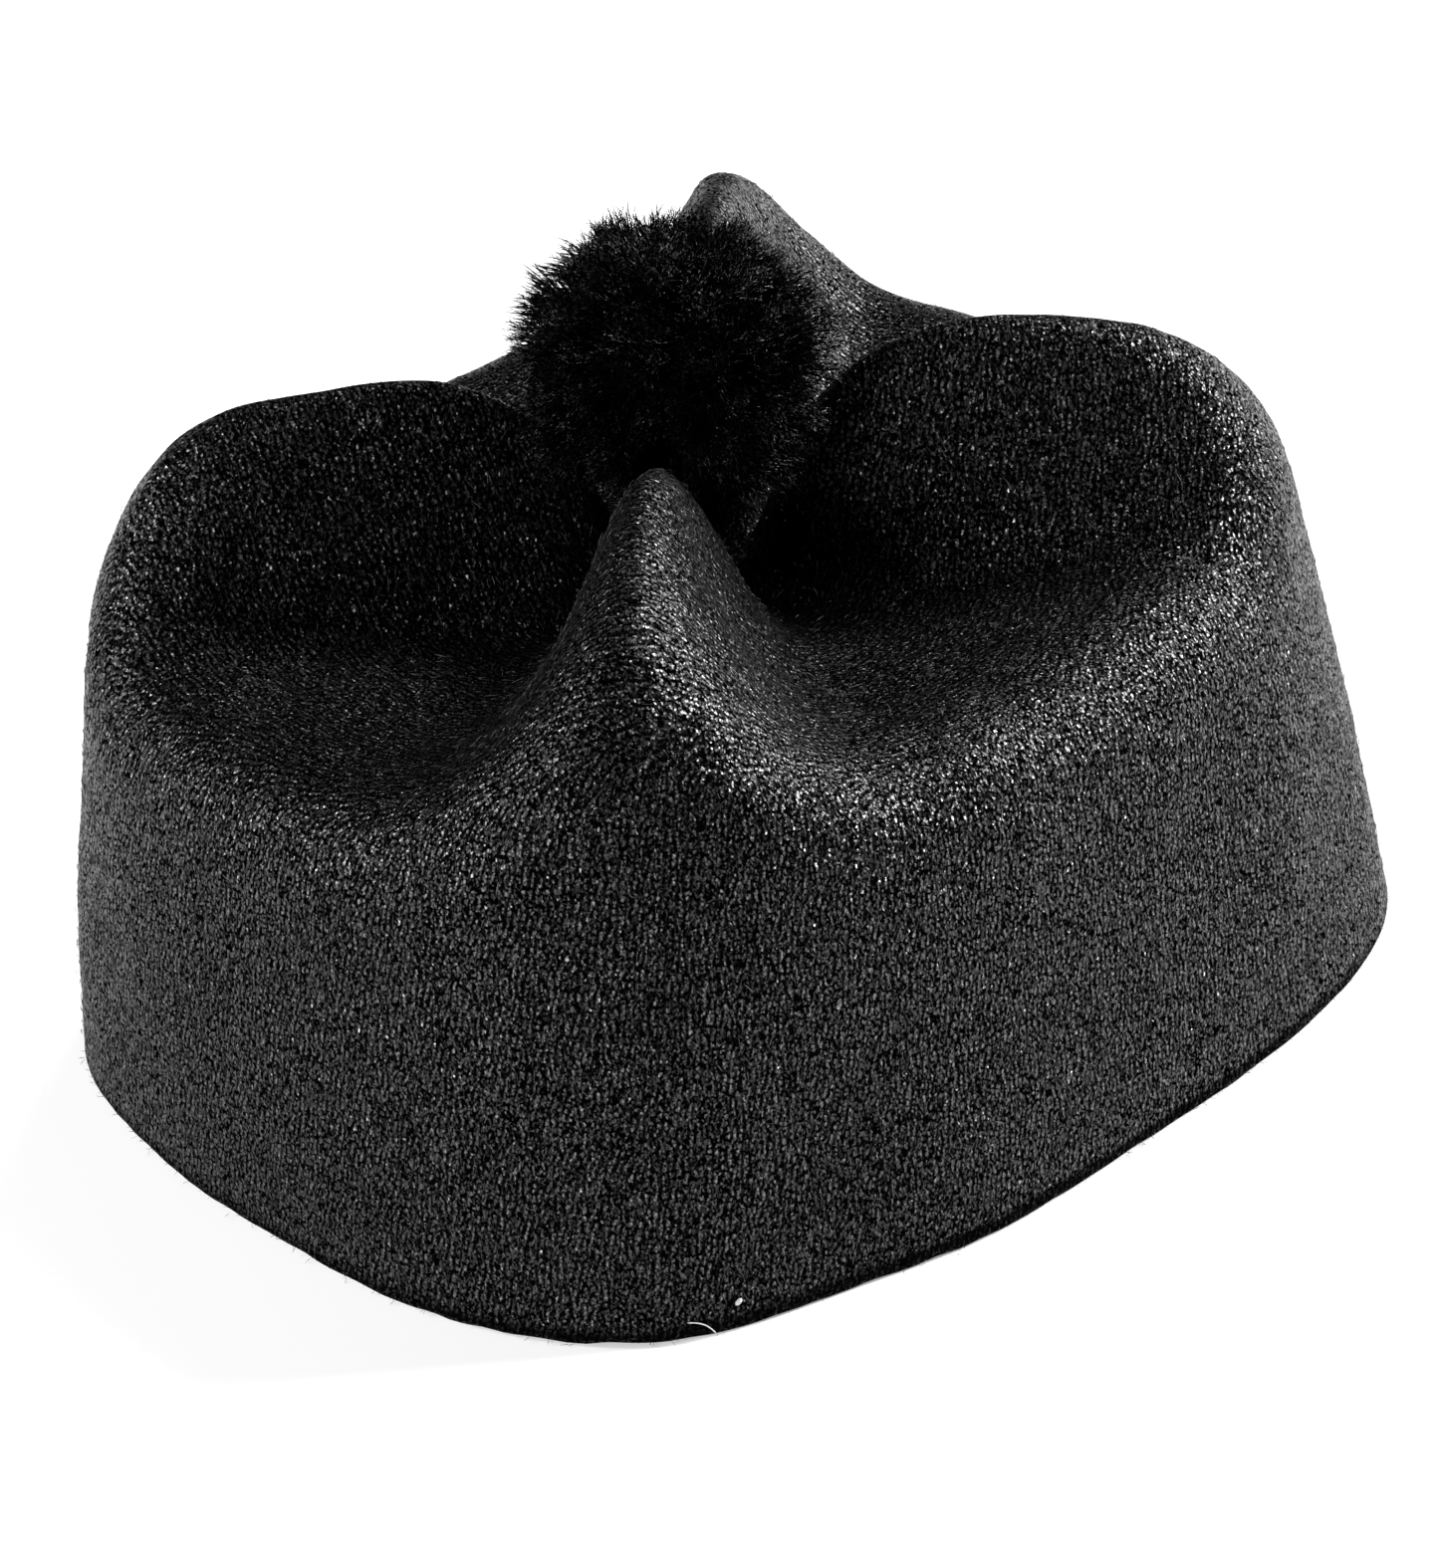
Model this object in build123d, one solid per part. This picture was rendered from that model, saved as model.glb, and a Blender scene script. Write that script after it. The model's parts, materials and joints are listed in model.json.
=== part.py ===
from build123d import *
import os
from math import atan, atan2, cos, degrees, exp, hypot, pi, radians, sin, tan

# Costume biretta: a soft felt cap moulded in one piece, with four upright fins
# that run out to the corners, and a yarn pompom sewn on in the middle.
# Millimetres. The origin is the centre of the head opening, on the plane that the
# cut rim stands on. +Z is up, and the long way of the head opening lies along Y.

# ---- driving dimensions: head opening and walls ----
HALF_WIDTH = 81.0            # X, half the outside width at the rim
HALF_LENGTH = 99.0           # Y, half the outside length at the rim
OUTLINE_POWER = 3.1          # 2 is an ellipse, larger squares the corners
SIDE_DRAFT = 1.5             # degrees, lean-in of the walls between the fins
CORNER_DRAFT = 5.7           # degrees, lean-in of the walls below the fins
CORNER_SPREAD = 0.45         # radians round a fin over which the draft changes
WALL_CROWNING = 7.25         # extra lean-in at CROWNING_HEIGHT, grows as the square
CROWNING_HEIGHT = 110.0
CROWN_LEAN = -0.074          # the soft crown settles sideways, mm of X per mm of Z
FELT = 2.2                   # felt thickness

# ---- driving dimensions: roof and fins ----
ROOF_RADIUS = 90.0           # mean half size that the roof's dish is measured over
ROOF_HEIGHT = 77.7           # mean height of the shoulders between the fins
ROOF_DISH = 10.9             # how far the middle of the roof lies below them
ROOF_SADDLE = 3.0            # long sides' shoulders stand this much over the mean
FIN_ANGLE = 51.5             # degrees from the X axis to a fin
FIN_HEIGHT = 106.2           # highest point of a fin's crest
FIN_PEAK_RADIUS = 44.3       # distance of that point from the middle
FIN_INNER_DROP = 36.0        # the crest falls this much towards the middle
FIN_OUTER_DROP = 12.35       # and this much from the peak to ROOF_RADIUS
FIN_HALF_WIDTH = 6.6         # half width of a fin near the middle
FIN_FLARE = 9.0              # how much wider it is at ROOF_RADIUS
FIN_POWER = 2.6              # 2 is a bell shape, larger gives a fuller fin
FIN_MERGE = 4                # how sharply two fins' shapes take over from each other
BLEND = 18.0                 # softness of the fold between walls and roof
PAD_HEIGHT = 67.5            # flat spot that the pompom is sewn to
PAD_RADIUS = 4.0
PAD_EDGE = 18.0              # radius where the pad has run out into the fins

# ---- driving dimensions: sewing thread and backing patch ----
THREAD = 1.2                 # thread diameter
HOLE = 1.6                   # stitch hole through felt and patch
HOLE_REACH = 2.2             # each hole's distance from the middle, along Y
PATCH_SIZE = 12.0            # backing patch, a rounded square of felt
PATCH_CORNER = 3.0
PATCH_THICKNESS = 1.6
PATCH_GAP = 0.2              # the patch hangs this far under the felt
STITCH_BEND = 0.7            # radius that the thread turns with at each hole
KNOT_LENGTH = 4.6            # the tied ends under the patch, along X
KNOT_WIDTH = 2.6
KNOT_TAIL = 9.0              # reach of each cut end
TAIL_START = 0.5             # where a cut end leaves the middle of the knot
TAIL_BEND = 4.0              # radius that it droops with
TAIL_SWING = 1.4             # sideways reach of its tip
TAIL_DROOP = 2.6             # how far its tip hangs below the knot's middle

# ---- driving dimensions: pompom, measured upwards from its root on the felt ----
ROOT_GAP = 1.6               # the neck starts this far above the pad
NECK_LENGTH = 3.6            # twisted thread between the felt and the pompom
NECK_RADIUS = 1.0
TAIL_GAP = 0.3               # room between the neck and the thread above it
PILE_RISE = 36.9             # centre of the ball of yarn above the neck's foot
PILE_RADIUS = 21.0
PILE_WAIST = ((3.0, 6.0), (5.0, 10.0), (8.0, 16.5), (12.0, 24.0), (15.6, 30.0), (18.8, 34.4))
PILE_SHOULDER = 8.0          # degrees above its middle where the ball takes over
TIE_RING = 3.4               # loop of thread that gathers the strands
TIE_THREAD = 0.8             # its radius

# ---- how finely the felt surface is drawn ----
RING_POINTS = 120
RING_CLIMBS = (0, 7, 14, 21, 27, 33, 38, 42, 46, 50, 54, 58, 62, 66, 70, 74, 78, 81.5, 84.5)
PAD_RIM = 3.6                # the last ring lies on the flat pad
FOOT = -4.0                  # the hollow is cut from below the rim
NEAREST, FARTHEST = 20.0, 220.0   # the surface lies between these, along any ray
HALVINGS = 32                # steps that close in on it
SLOPE_STEP = 0.05
THINNEST = 1e-9


def outline_radius(angle):
    """Radius of the rim's rounded-rectangle outline in one direction."""
    across = abs(cos(angle)) / HALF_WIDTH
    along = abs(sin(angle)) / HALF_LENGTH
    return (across**OUTLINE_POWER + along**OUTLINE_POWER) ** (-1 / OUTLINE_POWER)


def wall_slope(angle):
    """Lean-in of the wall per mm of height: steeper below the fins."""
    turn = atan2(abs(sin(angle)), abs(cos(angle))) - radians(FIN_ANGLE)
    corner = exp(-((turn / CORNER_SPREAD) ** 2))
    return tan(radians(SIDE_DRAFT + (CORNER_DRAFT - SIDE_DRAFT) * corner))


def fin_rise(along, across, floor):
    """Height of one pair of fins above the floor of the roof."""
    inner = max(FIN_PEAK_RADIUS - along, 0) / FIN_PEAK_RADIUS
    outer = max(along - FIN_PEAK_RADIUS, 0) / (ROOF_RADIUS - FIN_PEAK_RADIUS)
    crest = FIN_HEIGHT - FIN_INNER_DROP * inner**2 - FIN_OUTER_DROP * outer**2
    half_width = FIN_HALF_WIDTH + FIN_FLARE * (along / ROOF_RADIUS) ** 2
    return max(crest - floor, 0) * exp(-(abs(across / half_width) ** FIN_POWER))


def roof_height(x, y):
    """Top surface before it folds into the walls: a dished roof with four fins."""
    r = hypot(x, y)
    reach = min(r / ROOF_RADIUS, 1)
    saddle = ROOF_SADDLE * reach**2 * (x * x - y * y) / max(r * r, THINNEST)
    floor = ROOF_HEIGHT - ROOF_DISH * (1 - reach**2) + saddle
    c = cos(radians(FIN_ANGLE))
    s = sin(radians(FIN_ANGLE))
    one_pair = fin_rise(abs(x * c + y * s), y * c - x * s, floor)
    other_pair = fin_rise(abs(x * c - y * s), y * c + x * s, floor)
    top = floor + (one_pair**FIN_MERGE + other_pair**FIN_MERGE) ** (1 / FIN_MERGE)
    ease = min(max((r - PAD_RADIUS) / (PAD_EDGE - PAD_RADIUS), 0), 1)
    return PAD_HEIGHT + (top - PAD_HEIGHT) * ease * ease * (3 - 2 * ease)


def outside(x, y, z):
    """Negative inside the upright crown, zero on its surface, positive outside."""
    angle = atan2(y, x)
    crowning = WALL_CROWNING * (z / CROWNING_HEIGHT) ** 2
    over_wall = hypot(x, y) - (outline_radius(angle) - wall_slope(angle) * z - crowning)
    over_roof = z - roof_height(x, y)
    fold = max(BLEND - abs(over_roof - over_wall), 0) / BLEND
    return max(over_roof, over_wall) + fold * fold * BLEND / 4


def slope(point):
    """How fast `outside` grows with distance from the surface at a point."""
    x, y, z = point
    step = SLOPE_STEP
    change = Vector(
        outside(x + step, y, z) - outside(x - step, y, z),
        outside(x, y + step, z) - outside(x, y - step, z),
        outside(x, y, z + step) - outside(x, y, z - step),
    )
    return change.length / (2 * step)


def surface_point(angle, climb, depth):
    """Where a ray from the origin meets the surface lying `depth` inside the felt."""
    near = NEAREST
    far = FARTHEST
    for _ in range(HALVINGS):
        reach = (near + far) / 2
        flat = reach * cos(climb)
        point = (flat * cos(angle), flat * sin(angle), reach * sin(climb))
        allowance = depth * slope(point) if depth else 0
        if outside(*point) + allowance > 0:
            far = reach
        else:
            near = reach
    return Vector(*point)


def lean(point):
    """The sideways settling of the soft crown."""
    return Vector(point.X + CROWN_LEAN * point.Z, point.Y, point.Z)


def ring(points):
    """Closed smooth curve through the points, evenly paced so that rings match."""
    pace = [i / len(points) for i in range(len(points) + 1)]
    return Wire([Edge.make_spline([lean(p) for p in points], periodic=True, parameters=pace)])


def crown_solid(depth, foot):
    """Solid crown whose surface lies `depth` under the felt's outside, from z=foot up."""
    turns = [2 * pi * i / RING_POINTS for i in range(RING_POINTS)]
    rows = [[surface_point(a, radians(c), depth) for a in turns] for c in RING_CLIMBS]
    if foot < 0:
        rows.insert(0, [Vector(p.X, p.Y, foot) for p in rows[0]])
    top = PAD_HEIGHT - depth
    rows.append([Vector(PAD_RIM * cos(a), PAD_RIM * sin(a), top) for a in turns])
    return Solid.make_loft([ring(row) for row in rows])


def leaned(height):
    """Frame on the crown's middle line at a height, tipped as the crown leans."""
    middle = (CROWN_LEAN * height, 0, height)
    return Location(middle, (0, degrees(atan(CROWN_LEAN)), 0))


def stitch_holes():
    """Two round cutters through the pad and the patch."""
    cutter = Cylinder(HOLE / 2, 4 * (FELT + PATCH_THICKNESS))
    place = Pos(CROWN_LEAN * PAD_HEIGHT, 0, PAD_HEIGHT)
    return [place * Pos(0, side * HOLE_REACH, 0) * cutter for side in (1, -1)]


def crown_shell():
    """The felt, with its head cavity and the two stitch holes."""
    felt = crown_solid(0, 0) - crown_solid(FELT, FOOT)
    for hole in stitch_holes():
        felt -= hole
    return felt


def backing_patch():
    """Small rounded square of felt that keeps the thread from pulling through."""
    top = PAD_HEIGHT - FELT - PATCH_GAP
    outline = RectangleRounded(PATCH_SIZE, PATCH_SIZE, PATCH_CORNER)
    place = Pos(CROWN_LEAN * PAD_HEIGHT, 0, top - PATCH_THICKNESS)
    patch = place * extrude(outline, PATCH_THICKNESS)
    for hole in stitch_holes():
        patch -= hole
    return patch


def thread_along(points, radius, bend):
    """Round thread that follows straight runs with rounded corners."""
    path = FilletPolyline(*points, radius=bend)
    section = Plane(path @ 0, z_dir=path % 0) * Circle(radius)
    return sweep(section, path=path)


def knot_height():
    """Height of the knot's middle, where it hangs against the patch."""
    return PAD_HEIGHT - FELT - PATCH_GAP - PATCH_THICKNESS - KNOT_WIDTH / 2


def anchor_stitch():
    """One stitch: up through a hole, across the pad and down through the other."""
    low = knot_height()
    high = PAD_HEIGHT + THREAD / 2
    knot_side = KNOT_WIDTH / 2
    points = [
        (0, -knot_side, low),
        (0, -HOLE_REACH, low),
        (0, -HOLE_REACH, high),
        (0, HOLE_REACH, high),
        (0, HOLE_REACH, low),
        (0, knot_side, low),
    ]
    return Pos(CROWN_LEAN * PAD_HEIGHT, 0, 0) * thread_along(points, THREAD / 2, STITCH_BEND)


def anchor_knot():
    """The stitch's ends, tied under the patch and cut off short."""
    end = KNOT_LENGTH / 2
    bulge = ThreePointArc((-end, 0), (0, KNOT_WIDTH / 2), (end, 0))
    knot = revolve(make_face([bulge, Line((end, 0), (-end, 0))]), Axis.X)
    droop = [
        (TAIL_START, 0, 0),
        (KNOT_TAIL / 2, TAIL_SWING * 0.3, -TAIL_DROOP * 0.2),
        (KNOT_TAIL, TAIL_SWING, -TAIL_DROOP),
    ]
    for turn in (0, 180):
        knot += Rot(0, 0, turn) * thread_along(droop, THREAD / 2, TAIL_BEND)
    return Pos(CROWN_LEAN * PAD_HEIGHT, 0, knot_height()) * knot


def thread_neck():
    """The twisted ends of the pompom's thread, between the felt and the yarn."""
    return Pos(0, 0, NECK_LENGTH / 2) * Cylinder(NECK_RADIUS, NECK_LENGTH)


def pompom_tie():
    """Loop of thread that gathers the strands, and its ends running down to the neck."""
    loop = Pos(0, 0, PILE_RISE) * Rot(90, 0, 0) * Torus(TIE_RING, TIE_THREAD)
    start = NECK_LENGTH + TAIL_GAP
    length = PILE_RISE - TIE_RING - start
    return loop + Pos(0, 0, start + length / 2) * Cylinder(NECK_RADIUS, length)


def pompom_pile():
    """Outer shape of the cut yarn: a ball whose underside clears the fins."""
    def on_ball(climb):
        return (PILE_RADIUS * cos(radians(climb)), PILE_RISE + PILE_RADIUS * sin(radians(climb)))

    waist = Spline(*PILE_WAIST, on_ball(PILE_SHOULDER))
    crest = PILE_RISE + PILE_RADIUS
    ball = ThreePointArc(waist @ 1, on_ball(45), (0, crest))
    base = Line((0, PILE_WAIST[0][1]), PILE_WAIST[0])
    axis = Line((0, crest), (0, PILE_WAIST[0][1]))
    half = make_face([base, waist, ball, axis])
    return revolve(Plane.XZ * half, Axis.Z) - pompom_tie()


root = leaned(PAD_HEIGHT + ROOT_GAP)
nodes = {
    "crown_shell": crown_shell(),
    "backing_patch": backing_patch(),
    "anchor_stitch": anchor_stitch(),
    "anchor_knot": anchor_knot(),
    "thread_neck": root * thread_neck(),
    "pompom_tie": root * pompom_tie(),
    "pompom_pile": root * pompom_pile(),
}

os.makedirs("parts", exist_ok=True)
for name, shape in nodes.items():
    export_step(shape, f"parts/{name}.step")

for name, height in (("foot", 0), ("top", NECK_LENGTH)):
    place = (root * Pos(0, 0, height)).position
    print(f"neck {name} at {place.X:.3f} {place.Y:.3f} {place.Z:.3f}")
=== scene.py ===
import json
from math import cos, pi, radians, sin

import bpy
import numpy as np
from mathutils import Matrix, Vector


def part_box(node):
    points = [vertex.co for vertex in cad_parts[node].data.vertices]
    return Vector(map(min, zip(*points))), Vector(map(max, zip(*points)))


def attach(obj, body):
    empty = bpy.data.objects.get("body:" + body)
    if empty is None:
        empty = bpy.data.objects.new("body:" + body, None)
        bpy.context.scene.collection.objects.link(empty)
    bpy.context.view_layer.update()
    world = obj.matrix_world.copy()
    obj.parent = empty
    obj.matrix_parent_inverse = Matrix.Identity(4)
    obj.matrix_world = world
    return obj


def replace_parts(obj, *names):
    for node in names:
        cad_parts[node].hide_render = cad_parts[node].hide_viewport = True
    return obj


# Costume biretta: a moulded felt crown with four fins and a yarn pompom sewn on.
# Object sizes below are in millimetres, in the frame of the CAD part, and become metres
# in place_mesh(). Every random draw comes from a seeded generator.
MM = 0.001

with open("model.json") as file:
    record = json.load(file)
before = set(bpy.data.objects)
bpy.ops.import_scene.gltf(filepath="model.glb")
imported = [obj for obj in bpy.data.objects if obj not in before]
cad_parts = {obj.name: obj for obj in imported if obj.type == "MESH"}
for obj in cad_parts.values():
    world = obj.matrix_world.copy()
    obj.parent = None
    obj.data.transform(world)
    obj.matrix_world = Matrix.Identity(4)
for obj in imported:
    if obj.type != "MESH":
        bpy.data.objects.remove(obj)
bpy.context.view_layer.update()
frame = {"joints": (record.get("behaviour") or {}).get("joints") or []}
joints = {joint["name"]: joint for joint in frame["joints"]}

# ---- the felt's shape, as in the CAD part ----
HALF_WIDTH, HALF_LENGTH, OUTLINE_POWER = 81.0, 99.0, 3.1
SIDE_DRAFT, CORNER_DRAFT, CORNER_SPREAD = 1.5, 5.7, 0.45
WALL_CROWNING, CROWNING_HEIGHT = 7.25, 110.0
CROWN_LEAN = -0.074
FELT = 2.2
ROOF_RADIUS, ROOF_HEIGHT, ROOF_DISH, ROOF_SADDLE = 90.0, 77.7, 10.9, 3.0
FIN_ANGLE = radians(51.5)
FIN_HEIGHT, FIN_PEAK_RADIUS = 106.2, 44.3
FIN_INNER_DROP, FIN_OUTER_DROP = 36.0, 12.35
FIN_HALF_WIDTH, FIN_FLARE, FIN_POWER, FIN_MERGE = 6.6, 9.0, 2.6, 4
# The front fin has slumped: its left and right flanks spread wider and slope more gently.
SLUMP_LEFT, SLUMP_LEFT_POWER = 1.6, 1.95
SLUMP_RIGHT, SLUMP_RIGHT_POWER = 1.4, 1.85
SLUMP_START = 24.0           # the slump comes in over this distance from the middle
BLEND = 18.0
PAD_HEIGHT, PAD_RADIUS, PAD_EDGE = 67.5, 4.0, 18.0


def outline_radius(angle):
    """Radius of the rim's rounded-rectangle outline in one direction."""
    across = np.abs(np.cos(angle)) / HALF_WIDTH
    along = np.abs(np.sin(angle)) / HALF_LENGTH
    return (across**OUTLINE_POWER + along**OUTLINE_POWER) ** (-1 / OUTLINE_POWER)


def wall_slope(angle):
    """Lean-in of the wall per mm of height: steeper below the fins."""
    turn = np.arctan2(np.abs(np.sin(angle)), np.abs(np.cos(angle))) - FIN_ANGLE
    corner = np.exp(-((turn / CORNER_SPREAD) ** 2))
    return np.tan(np.radians(SIDE_DRAFT + (CORNER_DRAFT - SIDE_DRAFT) * corner))


def fin_rise(along, across, floor, spread=1.0, power=FIN_POWER):
    """Height of one pair of fins above the floor of the roof. spread widens the fins, and
    power sets how steeply their flanks fall."""
    inner = np.maximum(FIN_PEAK_RADIUS - along, 0) / FIN_PEAK_RADIUS
    outer = np.maximum(along - FIN_PEAK_RADIUS, 0) / (ROOF_RADIUS - FIN_PEAK_RADIUS)
    crest = FIN_HEIGHT - FIN_INNER_DROP * inner**2 - FIN_OUTER_DROP * outer**2
    half_width = FIN_HALF_WIDTH + FIN_FLARE * (along / ROOF_RADIUS) ** 2
    return np.maximum(crest - floor, 0) * np.exp(-(np.abs(across / half_width / spread) ** power))


def roof_height(x, y):
    """Top surface before it folds into the walls: a dished roof with four fins."""
    r = np.hypot(x, y)
    reach = np.minimum(r / ROOF_RADIUS, 1)
    saddle = ROOF_SADDLE * reach**2 * (x * x - y * y) / np.maximum(r * r, 1e-9)
    floor = ROOF_HEIGHT - ROOF_DISH * (1 - reach**2) + saddle
    c, s = cos(FIN_ANGLE), sin(FIN_ANGLE)
    one_pair = fin_rise(np.abs(x * c + y * s), y * c - x * s, floor)
    front = np.clip((x * c - y * s) / SLUMP_START, 0, 1)
    front, left = front * front * (3 - 2 * front), y * c + x * s < 0
    spread = 1 + (np.where(left, SLUMP_LEFT, SLUMP_RIGHT) - 1) * front
    power = FIN_POWER + (np.where(left, SLUMP_LEFT_POWER, SLUMP_RIGHT_POWER) - FIN_POWER) * front
    other_pair = fin_rise(np.abs(x * c - y * s), y * c + x * s, floor, spread, power)
    top = floor + (one_pair**FIN_MERGE + other_pair**FIN_MERGE) ** (1 / FIN_MERGE)
    ease = np.clip((r - PAD_RADIUS) / (PAD_EDGE - PAD_RADIUS), 0, 1)
    return PAD_HEIGHT + (top - PAD_HEIGHT) * ease * ease * (3 - 2 * ease)


def outside(p):
    """Negative inside the upright crown, zero on its surface, positive outside."""
    x, y, z = p[..., 0], p[..., 1], p[..., 2]
    angle = np.arctan2(y, x)
    crowning = WALL_CROWNING * (z / CROWNING_HEIGHT) ** 2
    over_wall = np.hypot(x, y) - (outline_radius(angle) - wall_slope(angle) * z - crowning)
    over_roof = z - roof_height(x, y)
    fold = np.maximum(BLEND - np.abs(over_roof - over_wall), 0) / BLEND
    return np.maximum(over_roof, over_wall) + fold * fold * BLEND / 4


def gradient(p):
    """Gradient of `outside`: its length is how fast it grows, its direction is outward."""
    step = 0.05
    parts = []
    for axis in range(3):
        shift = np.zeros(3)
        shift[axis] = step
        parts.append((outside(p + shift) - outside(p - shift)) / (2 * step))
    return np.stack(parts, -1)


def unit(v):
    """Vectors scaled to length 1."""
    return v / np.maximum(np.linalg.norm(v, axis=-1, keepdims=True), 1e-12)


def leaned(p):
    """The sideways settling of the soft crown."""
    return np.stack([p[..., 0] + CROWN_LEAN * p[..., 2], p[..., 1], p[..., 2]], -1)


def upright(p):
    """The reverse of `leaned`."""
    return np.stack([p[..., 0] - CROWN_LEAN * p[..., 2], p[..., 1], p[..., 2]], -1)


def surface(angle, climb, depth):
    """Points of the surface lying `depth` inside the felt, on rays from the origin."""
    angle, climb = np.broadcast_arrays(angle, climb)
    ray = np.stack([np.cos(climb) * np.cos(angle), np.cos(climb) * np.sin(angle), np.sin(climb)], -1)
    near = np.full(ray.shape[:-1], 20.0)
    far = np.full(ray.shape[:-1], 220.0)
    for _ in range(30):
        reach = (near + far) / 2
        p = ray * reach[..., None]
        over = outside(p)
        if depth:
            over = over + depth * np.linalg.norm(gradient(p), axis=-1)
        out = over > 0
        far = np.where(out, reach, far)
        near = np.where(out, near, reach)
    return p


def wander(p, wavelength, seed, waves=24):
    """Smooth random field of about unit size: a sum of plane waves."""
    rng = np.random.default_rng(seed)
    total = np.zeros(p.shape[:-1])
    for _ in range(waves):
        direction = unit(rng.normal(size=3))
        pace = 2 * pi / (wavelength * rng.uniform(0.7, 1.6))
        total += np.sin(p @ direction * pace + rng.uniform(0, 2 * pi))
    return total * (2 / waves) ** 0.5


# ---- making meshes ----
def place_mesh(name, points, faces, body, material):
    """A new piece from points in mm, riding on a CAD body, with one material."""
    mesh = bpy.data.meshes.new(name)
    mesh.from_pydata((np.asarray(points) * MM).tolist(), [], faces)
    mesh.polygons.foreach_set("use_smooth", [True] * len(mesh.polygons))
    mesh.materials.append(material)
    mesh.update()
    piece = bpy.data.objects.new(name, mesh)
    bpy.context.scene.collection.objects.link(piece)
    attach(piece, body)
    return piece


def grid_faces(rows, columns):
    """Quads of a grid whose rows close round on themselves."""
    faces = []
    for i in range(rows - 1):
        for j in range(columns):
            k = (j + 1) % columns
            below = (i + 1) * columns
            faces.append((i * columns + j, i * columns + k, below + k, below + j))
    return faces


def tubes(paths, radii, sides):
    """Points and faces of closed tubes. paths is (tubes, points, 3) and radii (tubes, points).
    The first and last points of each tube are its tips."""
    count, length, _ = paths.shape
    heading = unit(np.gradient(paths, axis=1))
    least = np.argmin(np.abs(heading.mean(axis=1)), axis=-1)
    across = unit(np.cross(heading, np.eye(3)[least][:, None, :]))
    beside = np.cross(heading, across)
    turn = (np.arange(sides) * 2 * pi / sides)[:, None]
    ring = across[:, 1:-1, None, :] * np.cos(turn) + beside[:, 1:-1, None, :] * np.sin(turn)
    ring = paths[:, 1:-1, None, :] + ring * radii[:, 1:-1, None, None]
    points = np.concatenate([ring.reshape(count, -1, 3), paths[:, :1], paths[:, -1:]], axis=1)
    rings = length - 2
    around = np.arange(sides)
    after = (around + 1) % sides
    step = np.stack([around, after, sides + after, sides + around], -1)
    walls = [i * sides + step for i in range(rings - 1)]
    first, last = rings * sides, rings * sides + 1
    end = (rings - 1) * sides
    near_tip = np.stack([np.full(sides, first), after, around], -1)
    far_tip = np.stack([np.full(sides, last), end + around, end + after], -1)
    start = np.arange(count)[:, None, None] * points.shape[1]
    faces = []
    for part in (*walls, near_tip, far_tip):
        faces += (start + part[None]).reshape(-1, part.shape[1]).tolist()
    return points.reshape(-1, 3), faces


def frame_along(path):
    """Two directions square to a path at each of its points, turning as little as they can."""
    heading = unit(np.gradient(path, axis=0))
    across = [unit(np.cross(heading[0], np.eye(3)[np.argmin(np.abs(heading[0]))]))]
    for ahead in heading[1:]:
        last = across[-1]
        across.append(unit(last - ahead * (last @ ahead)))
    across = np.array(across)
    return across, np.cross(heading, across)


def rounded(corners, rounds=4):
    """A smooth open path that cuts the corners of a polyline."""
    path = np.array(corners, float)
    for _ in range(rounds):
        cut = np.stack([path[:-1] * 0.75 + path[1:] * 0.25, path[:-1] * 0.25 + path[1:] * 0.75], 1)
        path = np.concatenate([path[:1], cut.reshape(-1, 3)[1:-1], path[-1:]])
    return path


def even(path, spacing):
    """The same path with evenly spaced points."""
    run = np.concatenate([[0], np.cumsum(np.linalg.norm(np.diff(path, axis=0), axis=1))])
    at = np.linspace(0, run[-1], max(int(run[-1] / spacing), 8))
    return np.stack([np.interp(at, run, path[:, axis]) for axis in range(3)], -1), run[-1]


def twisted(path, plies, radius, offset, pitch, fray=0.0):
    """Plies of thread twisted round a path. fray spreads them over the last part."""
    line, length = even(path, radius * 0.5)
    across, beside = frame_along(line)
    run = np.linspace(0, length, len(line))
    spread = offset * (1 + fray * np.clip((run - length * 0.75) / (length * 0.25), 0, 1) ** 2)
    turn = run / pitch * 2 * pi
    paths = []
    for ply in range(plies):
        angle = (turn + ply * 2 * pi / plies)[:, None]
        paths.append(line + (across * np.cos(angle) + beside * np.sin(angle)) * spread[:, None])
    return paths, radius


def thread_piece(name, strands, body, node):
    """One piece from several twisted threads, each a (paths, radius) pair, in place of a node."""
    points, faces = [], []
    for paths, radius in strands:
        for path in paths:
            thick = np.full((1, len(path)), radius)
            thick[0, [1, -2]] *= 0.8
            more, loops = tubes(path[None], thick, 8)
            faces += [tuple(v + sum(map(len, points)) for v in loop) for loop in loops]
            points.append(more)
    piece = place_mesh(name, np.concatenate(points), faces, body, THREAD_BLACK)
    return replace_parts(piece, node)


# ---- materials ----
TUFT_LEAN = 0.75             # how far the felt's tufts lean
TUFTS_PER_METRE = 2500.0
TUFT_STRETCH = 0.65          # upright scale of the tufts: below 1 they are taller than wide
TUFT_WARP = 0.0006           # how far the tufts are pushed out of true, in metres
STREAKS_PER_METRE = 480
SPECKS_PER_METRE = 150.0
SPECK_SHARE, SPECK_SIZE = 0.9, 0.04      # cells above the first have a speck of the second's size


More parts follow.
